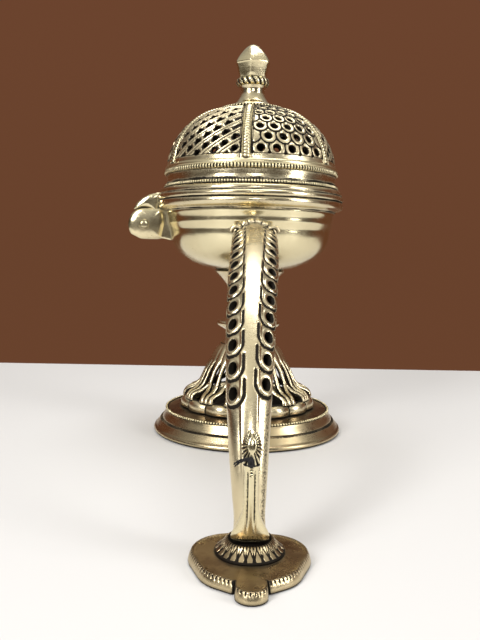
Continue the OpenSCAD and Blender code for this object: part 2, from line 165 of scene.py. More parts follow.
bpy.context.scene.view_settings.view_transform = "Standard"
make_camera()
make_world()
make_floor()
make_light("key", (-0.60, -0.80, 0.62), (0, 0, 0.12), (0.26, 0.60), 8.2)
make_light("fill", (0.80, -0.45, 0.42), (0, 0, 0.12), (0.22, 0.6), 4)
make_light("top", (0.05, 0.15, 1.0), (0, -0.05, 0.1), (0.6, 0.5), 4.6)
make_light("front", (0.12, -1.2, 0.55), (0, -0.1, 0.08), (0.20, 0.20), 1.8)


# ---------- materials ----------

PALE, WARM, BROWN = (0.75, 0.65, 0.43), (0.55, 0.42, 0.22), (0.24, 0.16, 0.08)
# The near-black stands for the recesses' black patina and their painted shade; the last brown is painted
# shade on faces that look up.
SPECK, PATINA_AND_SHADE_BLACK, TOP_SHADE_BROWN = (0.10, 0.07, 0.04), (0.012, 0.009, 0.006), (0.22, 0.15, 0.085)


def add(tree, kind, **settings):
    """A shader node with its sockets or properties set by name."""
    node = tree.nodes.new(kind)
    for key, value in settings.items():
        if key in node.inputs:
            node.inputs[key].default_value = value
        else:
            setattr(node, key, value)
    return node


def brass(name, bright, shade, rough, recess_shade_and_patina=0.9, reach=2.5, wear=0.25, waves=0.15, top_shade=None):
    """Brass with a mottled tint, fine scratches and recesses darkened by painted shade together with the
    brass's black patina.

    The argument after rough sets how dark those recesses go, reach how wide they are in mm, wear how much
    the shade colour mottles the surface and waves the depth of the hand-made unevenness. A colour
    given last is painted shade: the darker brown of the faces that look up.
    """
    material = bpy.data.materials.new(f"{name}_look")
    material.use_nodes = True
    tree = material.node_tree
    link = tree.links.new
    shader = tree.nodes["Principled BSDF"]
    coords = add(tree, "ShaderNodeTexCoord").outputs["Object"]

    def noise(scale, detail, roughness=0.55, vector=coords):
        """A noise over the surface."""
        node = add(tree, "ShaderNodeTexNoise", Scale=scale, Detail=detail, Roughness=roughness)
        link(vector, node.inputs["Vector"])
        return node.outputs["Fac"]

    def spread(value, low, high, to_low=0.0, to_high=1.0):
        """A value mapped from one range to another."""
        node = add(tree, "ShaderNodeMapRange")
        for key, number in (("From Min", low), ("From Max", high), ("To Min", to_low),
                            ("To Max", to_high)):
            node.inputs[key].default_value = number
        link(value, node.inputs["Value"])
        return node.outputs["Result"]

    def math_node(operation, a, b):
        """A sum, product or maximum of two values or sockets."""
        node = add(tree, "ShaderNodeMath", operation=operation)
        node.use_clamp = operation in ("MULTIPLY", "ADD", "MAXIMUM")
        for socket, value in zip(node.inputs, (a, b)):
            if isinstance(value, (int, float)):
                socket.default_value = value
            else:
                link(value, socket)
        return node.outputs[0]

    def colour_mix(factor, a, b):
        """A mix of two colours. The node's colour sockets are numbers 6 and 7."""
        node = add(tree, "ShaderNodeMix", data_type="RGBA")
        link(factor, node.inputs[0])
        for socket, value in ((node.inputs[6], a), (node.inputs[7], b)):
            if isinstance(value, tuple):
                socket.default_value = (*value, 1)
            else:
                link(value, socket)
        return node.outputs[2]

    patina = spread(noise(55, 6, 0.6), 0.42, 0.72)
    specks = spread(noise(900, 3), 0.60, 0.78)
    # Painted shade: ambient occlusion darkens the recesses, standing in for their shade as well as the
    # brass's black patina there.
    around = add(tree, "ShaderNodeAmbientOcclusion", samples=8)
    around.inputs["Distance"].default_value = reach * MM
    hollow = spread(around.outputs["AO"], 0.86, 0.50)
    # The dark attribute holds the chased lines' black patina and the shade painted on each piece.
    dark_lines_and_shade = add(tree, "ShaderNodeAttribute", attribute_name="dark").outputs["Fac"]
    grain = spread(noise(1500, 3, 0.6), 0.3, 0.7, -0.22, 0.22)
    edge = add(tree, "ShaderNodeMath", operation="ADD")
    link(dark_lines_and_shade, edge.inputs[0])
    link(grain, edge.inputs[1])
    dark_lines_and_shade = spread(edge.outputs[0], 0.30, 0.62)
    patina_and_shade = math_node("MAXIMUM", math_node("MULTIPLY", hollow, recess_shade_and_patina), dark_lines_and_shade)
    tint = colour_mix(math_node("MULTIPLY", patina, wear), bright, shade)
    tint = colour_mix(math_node("MULTIPLY", specks, 0.35 * wear), tint, SPECK)
    # Painted shade: faces that look up are tinted a darker brown by the way they face.
    if top_shade:
        facing = add(tree, "ShaderNodeSeparateXYZ")
        link(add(tree, "ShaderNodeNewGeometry").outputs["Normal"], facing.inputs[0])
        upward = math_node("MULTIPLY", spread(facing.outputs[2], 0.6, 0.9),
                           spread(noise(80, 5, 0.6), 0.58, 0.42, 0.55, 1.0))
        tint = colour_mix(upward, tint, top_shade)
    # Recesses and dark marks turn near black: part patina, part painted shade.
    tint = colour_mix(patina_and_shade, tint, PATINA_AND_SHADE_BLACK)
    link(tint, shader.inputs["Base Color"])
    link(spread(patina_and_shade, 0.25, 0.9, 1.0, 0.0), shader.inputs["Metallic"])
    shader.inputs["Specular IOR Level"].default_value = 0.12

    scratches = add(tree, "ShaderNodeMapping")
    scratches.inputs["Scale"].default_value = (1, 1, 9)
    link(coords, scratches.inputs["Vector"])
    streak = noise(420, 4, 0.6, scratches.outputs[0])
    gloss = math_node("ADD", spread(patina, 0, 1, rough, rough + 0.14),
                      spread(streak, 0.35, 0.75, 0.0, 0.07))
    gloss = math_node("ADD", gloss, math_node("MULTIPLY", patina_and_shade, 0.35))
    link(gloss, shader.inputs["Roughness"])

    broad = add(tree, "ShaderNodeBump")
    broad.inputs["Strength"].default_value = 0.5
    broad.inputs["Distance"].default_value = waves * MM
    link(noise(95, 2, 0.4), broad.inputs["Height"])
    fine = add(tree, "ShaderNodeBump")
    fine.inputs["Strength"].default_value = 0.25
    fine.inputs["Distance"].default_value = 0.05 * MM
    link(math_node("ADD", streak, specks), fine.inputs["Height"])
    link(broad.outputs[0], fine.inputs["Normal"])
    link(fine.outputs[0], shader.inputs["Normal"])
    return material


def black_cotton():
    """Matt black cotton with a fuzz of fine fibres."""
    material = bpy.data.materials.new("black_thread_look")
    material.use_nodes = True
    tree = material.node_tree
    shader = tree.nodes["Principled BSDF"]
    shader.inputs["Base Color"].default_value = (0.012, 0.011, 0.012, 1)
    shader.inputs["Roughness"].default_value = 0.9
    fibre = add(tree, "ShaderNodeTexNoise", Scale=3500.0, Detail=3.0)
    fuzz = add(tree, "ShaderNodeBump", Distance=0.1 * MM)
    tree.links.new(fibre.outputs["Fac"], fuzz.inputs["Height"])
    tree.links.new(fuzz.outputs[0], shader.inputs["Normal"])
    return material


turned = brass("turned_brass", PALE, WARM, 0.17, reach=2.0)
polished = brass("polished_brass", (0.80, 0.71, 0.46), WARM, 0.13, recess_shade_and_patina=0.6, waves=0.35)
beaded = brass("beaded_brass", (0.78, 0.69, 0.44), WARM, 0.22, recess_shade_and_patina=1.0, reach=1.2)
chased = brass("chased_brass", PALE, WARM, 0.22, recess_shade_and_patina=1.0, reach=2.2, waves=0.25)
# The aged brass carries real mottled wear and, on its faces that look up, a painted shade.
aged_top_shaded = brass("aged_brass", (0.57, 0.47, 0.29), WARM, 0.22, recess_shade_and_patina=1.0, wear=0.5, top_shade=TOP_SHADE_BROWN)
fastener = brass("fastener_brass", (0.55, 0.47, 0.29), BROWN, 0.35)
thread = black_cotton()


# ---------- mesh tools ----------

def clamp(value):
    """A value kept between 0 and 1."""
    return np.clip(value, 0, 1)


def hump(offset, width):
    """A soft peak of height 1 at offset 0, as wide as width to each side."""
    return np.exp(-(offset / width) ** 2)


def turns(count):
    """Equal steps round a circle, in radians."""
    return np.linspace(0, TAU, count, endpoint=False)


def quads(nu, nv, wrap_u=False, wrap_v=False):
    """Faces of a grid of nu by nv points, the first index running slowest."""
    i, j = np.meshgrid(np.arange(nu - (not wrap_u)), np.arange(nv - (not wrap_v)), indexing="ij")
    i, j = i.ravel(), j.ravel()
    i2, j2 = (i + 1) % nu, (j + 1) % nv
    return np.stack([i * nv + j, i2 * nv + j, i2 * nv + j2, i * nv + j2], axis=1)


def piece(name, points, faces, material, body, dark=None, angle=42, nodes=None):
    """A shown piece from points in mm. It rides on a body and stands for CAD nodes, or for the
    one of its own name. dark blackens points, and edges over angle degrees stay sharp.
    """
    points = np.asarray(points, float).reshape(-1, 3)
    faces = [[int(v) for v in face] for face in faces]
    used = np.zeros(len(points), bool)
    used[np.unique(np.concatenate([np.asarray(f) for f in faces]))] = True
    index = np.cumsum(used) - 1
    mesh = bpy.data.meshes.new(name)
    mesh.from_pydata((points[used] * MM).tolist(), [], [[int(index[v]) for v in f] for f in faces])
    if dark is not None:
        values = mesh.attributes.new("dark", "FLOAT", "POINT").data
        values.foreach_set("value", np.asarray(dark, np.float32).ravel()[used])
    mesh.validate()
    mesh.shade_smooth()
    mesh.set_sharp_from_angle(angle=math.radians(angle))
    mesh.materials.append(material)
    obj = shown(name, mesh)
    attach(obj, body)
    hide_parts(*(nodes or [name]))
    return obj


def signed_area(points):
    """Twice an outline's area, positive where it turns left."""
    x, y = points[:, 0], points[:, 1]
    return np.sum(x * np.roll(y, -1) - np.roll(x, -1) * y)


def rounded(outline, radius, steps=4):
    """A closed outline with each corner turned into a short curve."""
    points = np.asarray(outline, float)
    if signed_area(points) < 0:
        points = points[::-1]
    result = []
    for k, corner in enumerate(points):
        before, after = points[k - 1] - corner, points[(k + 1) % len(points)] - corner
        la, lb = np.linalg.norm(before), np.linalg.norm(after)
        a = corner + before / la * min(radius, 0.45 * la)
        b = corner + after / lb * min(radius, 0.45 * lb)
        for s in np.linspace(0, 1, steps):
            result.append((1 - s) ** 2 * a + 2 * s * (1 - s) * corner + s ** 2 * b)
    return np.array(result)


def ring_points(theta, r, z):
    """Points at azimuth theta in radians, radius r and height z."""
    theta, r, z = np.broadcast_arrays(theta, r, z)
    return np.stack([r * np.sin(theta), -r * np.cos(theta), z], axis=-1)


def lathe(name, outline, material, body, radius=0.4, steps=192, shape=None, centre=(0, 0),
          corner_steps=4, nodes=None):
    """A turned piece from its half outline. shape(theta, r, z) returns r, z and darkness."""
    section = rounded(outline, radius, corner_steps)
    theta = turns(steps)[:, None]
    r, z = section[None, :, 0], section[None, :, 1]
    dark = np.zeros((steps, len(section)))
    if shape:
        r, z, dark = shape(theta, r, z)
    points = ring_points(theta, r, z) + np.array([centre[0], centre[1], 0])
    faces = quads(steps, len(section), True, True)
    dark = np.broadcast_to(dark, (steps, len(section)))
    piece(name, points, faces, material, body, dark, nodes=nodes)


def bead_row(name, count, radius, height, size, body, dark_bed=(), tall=1.0):
    """A ring of separate cast beads half sunk in a dark bed, painted shade between them, standing for the
    node name.
    """
    theta = np.arange(count) * TAU / count
    size = size * (1 + 0.07 * np.sin(5.3 * np.arange(count)))
    rows, columns = 7, 10
    e = np.linspace(-math.pi / 2, math.pi / 2, rows)[:, None]
    a = turns(columns)[None, :]
    unit = np.stack([np.cos(e) * np.cos(a), np.cos(e) * np.sin(a), np.sin(e) + 0 * a], -1)
    unit = unit.reshape(-1, 3)
    centres = ring_points(theta, radius + 0 * theta, height + 0 * theta)
    beads_at = centres[:, None] + unit[None] * size[:, None, None] * np.array([1, 1, tall])
    first = rows * columns * np.arange(count)[:, None, None]
    faces = (quads(rows, columns, False, True)[None] + first).reshape(-1, 4).tolist()
    points, dark = beads_at.reshape(-1, 3), np.zeros(rows * columns * count)
    bed = rounded(dark_bed, 0.3, 3)
    steps = 256
    turn = turns(steps)[:, None]
    under = ring_points(turn, bed[None, :, 0], bed[None, :, 1]).reshape(-1, 3)
    faces += (quads(steps, len(bed), True, True) + len(points)).tolist()
    # The bed is painted near black as the shade between the beads.
    dark = np.concatenate([dark, np.ones(len(under))])
    piece(name, np.vstack([points, under]), faces, beaded, body, dark, 70)


def bead_band(count, low, high, depth, inner, slant=0.0):
    """A lathe shape with count beads round its outside between two heights."""
    def shape(theta, r, z):
        swell = np.abs(np.cos(count * (theta + slant * (z - low)) / 2)) ** 0.6
        cut = (1 - swell) * (z > low) * (z < high) * (r > inner)
        # The gaps between the beads are painted dark as shade.
        return r - depth * cut, z + 0 * theta, clamp(1.8 * cut)
    return shape


def waver(depth, lobes, painted_shade=()):
    """A lathe shape with the unevenness of hand work and lines of painted shade at (r, z) corners."""
    def shape(theta, r, z):
        push = sum(np.sin(n * theta + 1.7 * n + 0.05 * n * z) / n for n in lobes)
        dark = np.zeros(np.broadcast(theta, r).shape)
        # Painted shade: a patchy dark line along each listed corner.
        for line_r, line_z in painted_shade:
            gap = np.hypot(r - line_r, z - line_z)
            patchy = 0.75 + 0.25 * np.sin(7 * theta) * np.sin(11 * theta + 2)
            dark = np.maximum(dark, patchy * hump(gap, 0.55))
        return r + depth * push, z + 0 * theta, dark
    return shape


def shell(outer, inner, faces):
    """Closes two matching skins into one wall with rims: (points, faces)."""
    outer, inner = outer.reshape(-1, 3), inner.reshape(-1, 3)
    n = len(outer)
    faces = [[int(v) for v in f] for f in faces]
    edges = {(f[k], f[(k + 1) % len(f)]): None for f in faces for k in range(len(f))}
    rims = [[b, a, a + n, b + n] for a, b in edges if (b, a) not in edges]
    backs = [[v + n for v in reversed(f)] for f in faces]
    return np.vstack([outer, inner]), faces + backs + rims


def pierce(f, faces):
    """Drops faces inside holes, where f < 0, keeping the triangles that a rim cuts off."""
    f = f.ravel()
    sign = np.where(f < -1e-6, -1, np.where(f > 1e-6, 1, 0))
    s = sign[faces]
    whole = faces[(s >= 0).all(1) & (s > 0).any(1)].tolist()
    cut = faces[(s < 0).any(1) & (s > 0).any(1)]
    corners = [[v for v in face if sign[v] >= 0] for face in cut.tolist()]
    return whole + [c for c in corners if len(c) == 3]


def tube(path, radii, sides=12):
    """A closed round tube along points: (points, faces)."""
    path = np.asarray(path, float)
    tangent = np.gradient(path, axis=0)
    tangent /= np.linalg.norm(tangent, axis=1)[:, None]
    side = np.cross(tangent, (0.31, 0.47, 0.83))
    side /= np.linalg.norm(side, axis=1)[:, None]
    up = np.cross(side, tangent)
    a = turns(sides)
    radii = np.broadcast_to(radii, len(path))[:, None, None]
    points = (path[:, None] + radii * (np.cos(a)[None, :, None] * side[:, None]
                                       + np.sin(a)[None, :, None] * up[:, None]))
    faces = quads(len(path), sides, False, True)[:, ::-1].tolist()
    n = len(path) * sides
    faces += [list(range(sides)), list(range(n - 1, n - sides - 1, -1))]
    return points.reshape(-1, 3), faces


def joined(*solids):
    """Several (points, faces) as one."""
    points, faces, start = [], [], 0
    for p, f in solids:
        points.append(p)
        faces += [[v + start for v in face] for face in f]
        start += len(p)
    return np.vstack(points), faces


def fused(obj, voxel):
    """Melts a piece's overlapping solids into one cast skin, with a voxel size in mm."""
    mesh = obj.data
    remesh = obj.modifiers.new("remesh", "REMESH")
    remesh.mode = "VOXEL"
    remesh.voxel_size = voxel * MM
    soften = obj.modifiers.new("soften", "SMOOTH")
    soften.factor = 0.5
    soften.iterations = 6
    bpy.context.view_layer.update()
    cast = bpy.data.meshes.new_from_object(obj.evaluated_get(bpy.context.evaluated_depsgraph_get()))
    obj.modifiers.clear()
    obj.data = cast
    cast.shade_smooth()
    if not cast.materials:
        cast.materials.append(mesh.materials[0])


# ---------- base ----------

TIER_EDGE = 13.2


def tier_shape(theta, r, z):
    """Slightly uneven tier, painted black as shade under the bell and with painted shade round the lobed
    ring.
    """
    push, height, _ = waver(0.08, (2, 3, 7))(theta, r, z)
    # Painted shade round the lobed ring's foot, and painted shadow over the tier's face inside the bell.
    painted_shade = hump(r - 39.6, 1.5) * (z > 13) * 0.9
    return push, height, np.maximum(painted_shade, ((r < 38.5) & (z > 13.5)) * 1.0) + 0 * theta


lathe("base_flange", [(47, 0), (54.4, 0), (55.6, 0.6), (56, 1.6), (55.6, 2.8), (54.6, 3.4), (52, 7.2),
                      (51.4, FLANGE_TOP), (44, FLANGE_TOP), (44, 5.6), (46.4, 5.2)],
      aged_top_shaded, "stand", 0.8, 256,
      waver(0.10, (2, 3, 5), [(51.4, FLANGE_TOP), (52, 7.2)]), corner_steps=6)
lathe("base_tier", [(45, FLANGE_TOP), (51, FLANGE_TOP), (50.6, 8.6), (49, 11.4), (48.6, 12.6),
                    (47.4, TIER_EDGE), (41.5, TIER_FACE), (38, TIER_FACE), (34, TIER_FACE),
                    (3, TIER_FACE), (3, 11.8), (44.4, 11)],
      aged_top_shaded, "stand", 0.5, 256, tier_shape)
bead_row("base_bead_ring", 180, 48.55, TIER_EDGE + 0.1, 0.72, "stand",
         [(47.3, TIER_EDGE - 0.6), (48.7, TIER_EDGE - 1.0), (48.75, TIER_EDGE - 0.1),
          (48.3, TIER_EDGE + 0.12), (47.3, TIER_EDGE + 0.12)])


# ---------- openwork bell ----------

FORKS = 14
BELL = np.array([(16.6, 52), (20.3, 46.6), (24.5, 38.8), (26.7, 34), (28.9, 29.2), (32, 26.4),
                 (36.2, 24.8), (38.2, 22.8), (38.6, 20.4)])
RIB, SLOT_TOP, FORK_AT, LEG_SPREAD = 1.3, 13.0, 24.0, 8.0
SLOT_END, BELL_RUN, BELL_WALL = 38.2, 39.4, 1.7


def bell_profile(run):
    """Radius and height of the bell's skin at a length down from its top."""
    steps = np.hypot(*np.diff(BELL, axis=0).T)
    along = np.concatenate([[0], np.cumsum(steps)])
    fine = np.linspace(0, along[-1], 240)
    soft = np.ones(17) / 17
    r, z = (np.interp(fine, along, BELL[:, k]) for k in (0, 1))
    r[8:-8], z[8:-8] = np.convolve(r, soft, "valid"), np.convolve(z, soft, "valid")
    return np.interp(run, fine, r), np.interp(run, fine, z)


def make_bell():
    """Fluted shell cut into slim ribs: every second rib forks over the lobed ring."""
    rows, columns = 104, FORKS * 44
    run = np.linspace(0, BELL_RUN, rows)[:, None] + np.zeros((1, columns))
    theta = turns(columns)[None, :] + 0 * run

    def rib_distances(theta, run):
        """How deep a point lies in a rib, and how far off its ridge, from 0 to 1."""
        r, _ = bell_profile(run)
        pitch = TAU / FORKS
        even = np.abs((theta / pitch + 0.5) % 1 - 0.5) * pitch * r
        odd = np.abs((theta / pitch) % 1 - 0.5) * pitch * r
        spread = clamp((run - FORK_AT) / 12) ** 0.8 * math.radians(LEG_SPREAD) * r
        wide = RIB + 1.75 * clamp((SLOT_TOP + 5 - run) / 8) ** 1.5
        wide = wide + 0.5 * clamp((run - 34) / 5)
        fork = np.abs(even - spread)
        solid = np.maximum(wide - fork, 0.9 * wide - odd)
        solid = np.maximum(solid, np.maximum(SLOT_TOP - run, run - SLOT_END))
        return solid, np.minimum(fork / wide, odd / (0.9 * wide))

    solid, _ = rib_distances(theta, run)
    r, _ = bell_profile(run)
    cell = TAU / columns
    slope = (np.roll(solid, -1, 1) - np.roll(solid, 1, 1)) / (2 * cell)
    shift = -solid / np.where(np.abs(slope) > 1, slope, 1e9)
    near = (np.abs(shift) < 0.55 * cell) & (np.abs(slope) > 1)
    theta = theta + np.where(near, shift, 0)
    solid, ridge = rib_distances(theta, run)
    gap = np.where(near, 0, solid)
    r, z = bell_profile(run)
    grow, drop = np.gradient(r, axis=0), np.gradient(z, axis=0)
    length = np.hypot(grow, drop)
    grow, drop = grow / length, drop / length
    bulge = np.sqrt(clamp(1 - ridge ** 2))
    end = clamp((run + 0.5) / 4)
    lift = (1.15 * bulge - 0.75) * end

    def skin(offset):
        """The skin moved outwards by an offset."""
        return ring_points(theta, r - offset * drop, z + offset * grow)

    # Painted shade: the ribs darken towards their edges, and the inner skin is painted black as the shade
    # inside the bell.
    dark = clamp((0.5 - bulge) / 0.25) * end
    points, faces = shell(skin(lift), skin(-BELL_WALL + 0 * lift),
                          pierce(gap, quads(rows, columns, False, True)[:, ::-1]))
    dark = np.concatenate([dark.ravel(), np.ones(dark.size)])
    piece("openwork_bell", points, faces, chased, "stand", dark, 60)


def make_foot_ring():
    """Ring of round lobes, one under each fork, hollowed a little between them."""
    steps = FORKS * 36
    theta = turns(steps)[:, None]
    lobe = np.abs(np.cos(FORKS * theta / 2))
    section = rounded([(33.2, 14.05), (39.0, 14.05), (40.2, 15.4), (40.2, 18.4), (39.0, 20.6),
                       (36.2, 21.4), (33.4, 20.4)], 1.4, 6)
    r, z = section[None, :, 0], section[None, :, 1]
    reach = clamp((r - 33.2) / 7)
    r = r - 2.3 * (1 - lobe ** 0.8) * reach + 0 * theta
    z = z - 1.1 * (1 - lobe) * clamp((z - 16) / 4)
    # Painted shade where the ring sits on the tier and in the hollows between the lobes.
    dark = clamp(1 - (z - 14) / 0.7) + 0.9 * clamp(0.22 - lobe) / 0.22 * (reach > 0.5)
    piece("bell_foot_ring", ring_points(theta, r, z), quads(steps, len(section), True, True),
          chased, "stand", clamp(dark), 60)


make_bell()
make_foot_ring()


# ---------- stem ----------

lathe("stem_collar", [(3, COLLAR_FOOT), (16.4, COLLAR_FOOT), (15.4, 53.4), (11.4, 55), (10, 57),
                      (10.4, 58.6), (12.6, KNOP_FOOT), (3, KNOP_FOOT)],
      turned, "stand", 0.8, 160)
lathe("stem_knop", [(3, KNOP_FOOT), (12.6, KNOP_FOOT), (18.4, 63), (19.1, 64.2), (18.4, 65.6),
                    (11, FLARE_FOOT), (3, FLARE_FOOT)],
      turned, "stand", 0.7, 160)
lathe("stem_flare", [(3, FLARE_FOOT), (10.6, FLARE_FOOT), (9.4, 70), (9, 76), (10.2, 80.4), (12.2, 84.6),
                     (15, 89), (18, 92.2), (21.4, BOWL_FOOT), (3, BOWL_FOOT)],
      turned, "stand", 1.5, 160)


# ---------- bowl ----------

BOWL_R, BOWL_MID, WALL = 46.8, 119, 1.8
BOWL_FLOOR = BOWL_FOOT + WALL


def bowl_curve(inset, count=24, last=66):
    """Round part of the bowl's outline from its widest ring down, inset by a wall."""
    a = np.radians(np.linspace(0, last, count))
    power = 2 / 2.4
    return list(zip((BOWL_R - inset) * np.cos(a) ** power,
                    BOWL_MID - (24 - inset) * np.sin(a) ** power))


lathe("bowl", [(46.4, BOWL_TOP), (49.4, BOWL_TOP), (48.6, 126.8), (48.2, 125), (48.2, 122.8),
               (47.7, 121.6)]
      + bowl_curve(0) + [(18, BOWL_FOOT), (3, BOWL_FOOT), (3, BOWL_FLOOR), (17, BOWL_FLOOR)]
      + bowl_curve(WALL)[::-1] + [(45, 122), (46.4, 124)],
      polished, "stand", 0.7, 256, waver(0.12, (2, 3, 5, 9)), corner_steps=3)
lathe("bowl_flange", [(46.4, BOWL_TOP), (49.4, BOWL_TOP), (50, 130.4), (53.3, 131.2), (53.9, 132),
                      (54.2, 133.4), (53.9, 134.6), (53.4, BOWL_RIM), (46.4, BOWL_RIM)],
      turned, "stand", 0.5, 256,
      waver(0.06, (2, 3, 5), [(53.4, BOWL_RIM), (49.7, 129.6)]))


# ---------- lid ----------

lathe("lid_flange", [(46.4, SEAM), (53.6, SEAM), (54.2, 136.4), (54.2, 137.8), (53.2, 138.8),
                     (53.5, 139.8), (53, 141.2), (51.8, BAND_FOOT), (46.4, BAND_FOOT)],
      turned, "lid", 0.5, 256,
      waver(0.06, (2, 3, 5), [(53.6, SEAM), (53.2, 138.8), (51.0, BAND_FOOT)]))
bead_row("lid_lower_bead_ring", 200, 50.4, 143.3, 0.72, "lid",
         [(49.6, BAND_FOOT), (50.6, BAND_FOOT), (50.5, 144.4), (49.6, 144.5)], 1.3)
lathe("lid_band", [(46.4, BAND_FOOT), (49.6, BAND_FOOT), (49.6, 144.5), (49.2, 147),
                   (49.4, BAND_TOP), (46.4, BAND_TOP)],
      turned, "lid", 0.4, 256,
      waver(0.05, (3, 5), [(49.4, BAND_TOP), (49.6, 144.9)]), corner_steps=6)
lathe("lid_upper_bead_ring", [(46.4, BAND_TOP), (49.8, BAND_TOP), (50.4, 150.3), (50.8, 150.8),
                              (50.9, 151.4), (50.7, 152), (50.3, 152.4), (50.0, 152.6), (50.3, 153.2),
                              (50.1, 154.1), (49.4, DOME_BASE), (46.4, DOME_BASE)],
      beaded, "lid", 0.25, 176 * 8,
      bead_band(176, 150.2, 152.5, 1.0, 49.6))

DOME_R0, DOME_Z0, DOME_ARC, DOME_T = 12.0, 151.0, 37.0, 1.8
STRAPS, FIRST_STRAP = 6, -4.0
PANEL = 360 / STRAPS
DOME_FOOT, DOME_HEAD = 6.2, 86.0
STRAP_HALF = 2.4
LATTICE_SLANT, LATTICE_STEP, LATTICE_MID = 36.0, 5.9, 38.0


def dome_radius(elevation):
    """Distance of the dome's skin from the axis at an elevation in degrees."""
    return DOME_R0 + DOME_ARC * np.cos(np.radians(elevation))


def dome_points(azimuth, elevation, lift):
    """Points over the dome, angles in degrees, lift outwards in mm."""
    e = np.radians(elevation)
    return ring_points(np.radians(azimuth), DOME_R0 + (DOME_ARC + lift) * np.cos(e),
                       DOME_Z0 + (DOME_ARC + lift) * np.sin(e))


def scale_holes(middle):
    """Rows of overlapping rings: (azimuth, elevation, hole radius, ring radius)."""
    pitch, e, row, rings = 10.4, 15.0, 0, []
    while e < 76:
        r = dome_radius(e)
        reach = math.radians(pitch) * r / 2 * 1.12
        count = 5 if row % 2 == 0 else 6
        for k in range(count):
            edge = count == 6 and k in (0, 5)
            rings.append((middle + (k - (count - 1) / 2) * pitch, e, 0 if edge else 0.43 * reach,
                          reach))
        e += math.degrees(1.42 * reach / DOME_ARC)
        row += 1
    return rings


def lattice_holes(middle):
    """Holes along slanting channels: (azimuth, elevation, hole radius, ring radius)."""
    slant, across, along, rings = math.radians(LATTICE_SLANT), LATTICE_STEP, 6.3, []
    for row in range(-9, 10):
        for k in range(-9, 10):
            u, v = (k + 0.5 * (row % 2)) * along, row * across
            s = u * math.cos(slant) - v * math.sin(slant)
            t = u * math.sin(slant) + v * math.cos(slant)
            e = LATTICE_MID + math.degrees(t / DOME_ARC)
            r = dome_radius(e)
            if 11 < e < 76 and abs(s) < math.radians(PANEL / 2) * r - 5.4:
                rings.append((middle + math.degrees(s / r), e, 1.6, 2.6))
    return rings


def make_panel(number, middle, scaled):
    """One sixth of the dome between two straps, chased and pierced."""
    rows, columns = 120, 126
    e = np.linspace(DOME_FOOT, DOME_HEAD, rows)[:, None] + np.zeros((1, columns))
    a = middle + np.linspace(-PANEL / 2, PANEL / 2, columns)[None, :] + np.zeros((rows, 1))
    rings = scale_holes(middle) if scaled else lattice_holes(middle)
    gap = np.full(e.shape, 99.0)
    step = np.radians((DOME_HEAD - DOME_FOOT) / rows) * DOME_ARC
    for azimuth, elevation, hole, _ in rings:
        if not hole:
            continue
        r = dome_radius(elevation)
        s, t = np.radians(a - azimuth) * r, np.radians(e - elevation) * DOME_ARC
        d = np.hypot(s, t)
        near = np.abs(d - hole) < 0.55 * max(step, math.radians(PANEL / columns) * r)
        a = np.where(near, azimuth + np.degrees(s * hole / np.maximum(d, 1e-6) / r), a)
        e = np.where(near, elevation + np.degrees(t * hole / np.maximum(d, 1e-6) / DOME_ARC), e)
        gap = np.minimum(gap, np.where(near, 0, d - hole))
    r = dome_radius(e)
    side = np.radians(PANEL / 2 - np.abs(a - middle)) * r - STRAP_HALF
    if scaled:
        lift, dark = scale_relief(a, e, rings)
    else:
        lift, dark = lattice_relief(a, e, middle, rings)
    border = clamp(np.minimum(side - 0.5, (e - 9.6) * 0.65) / 0.5)
    lift = border * lift + (1 - border) * 0.35
    line = np.maximum(hump(side - 0.9, 0.3), hump(e - 10.1, 0.45))
    line = np.where((side < 0.45) & (e > 10), 1.0, line)
    dark = np.maximum(border * dark, 0.85 * line)
    # Painted shade: the edges of the holes and the whole inner skin go black, as the dark inside the
    # dome.
    dark = np.maximum(dark, clamp(1 - gap / 0.35))
    lift = lift - 0.35 * line
    faces = pierce(gap, quads(rows, columns)[:, ::-1])
    outer, inner = dome_points(a, e, lift), dome_points(a, e, -DOME_T + 0 * e)
    points, faces = shell(outer, inner, faces)
    dark = np.concatenate([dark.ravel(), np.ones(e.size)])
    piece(f"lid_dome_panel_{number}", points, faces, chased, "lid", dark, 50, [f"lid_dome_{number}"])


def scale_relief(a, e, rings):
    """Height and darkness of overlapping rings, the higher rows lying on the lower."""
    lift, dark = np.full(e.shape, -0.45), np.ones(e.shape)
    for azimuth, elevation, hole, reach in rings:
        r = dome_radius(elevation)
        s, t = np.radians(a - azimuth) * r, np.radians(e - elevation) * DOME_ARC
        d = np.hypot(s, np.where(t > 0, t, 0.9 * t))
        middle, half = (hole + reach) / 2, (reach - hole) / 2
        dome = np.sqrt(clamp(1 - ((d - middle) / half) ** 2))
        inside = d < reach
        lift = np.where(inside, 0.95 * dome - 0.25 * t / reach - 0.15, lift)
        edge = clamp((d - reach + 0.95) / 0.3)
        dark = np.where(inside, np.maximum(edge, clamp((hole + 0.25 - d) / 0.2)), dark)
    return lift, dark


def lattice_relief(a, e, middle, rings):
    """Height and darkness of slanting double bars with bridges between the holes."""
    slant = math.radians(LATTICE_SLANT)
    r = dome_radius(e)
    s, t = np.radians(a - middle) * r, np.radians(e - LATTICE_MID) * DOME_ARC
    v = -s * math.sin(slant) + t * math.cos(slant)
    off = np.abs((v / LATTICE_STEP + 0.5) % 1 - 0.5) * LATTICE_STEP
    ridge = np.sqrt(clamp(1 - ((off - LATTICE_STEP * 0.35) / 0.8) ** 2))
    lift = 1.0 * ridge - 0.4
    dark = clamp(1.5 - 2.2 * ridge)
    for azimuth, elevation, hole, _ in rings:
        rc = dome_radius(elevation)
        d = np.hypot(np.radians(a - azimuth) * rc, np.radians(e - elevation) * DOME_ARC)
        beside = hump(d - hole - 1.5, 0.8) * (off < 1.2)
        lift = np.maximum(lift, 0.45 * beside - 0.2)
        dark = np.minimum(dark, 1 - 0.8 * beside)
    return lift, dark


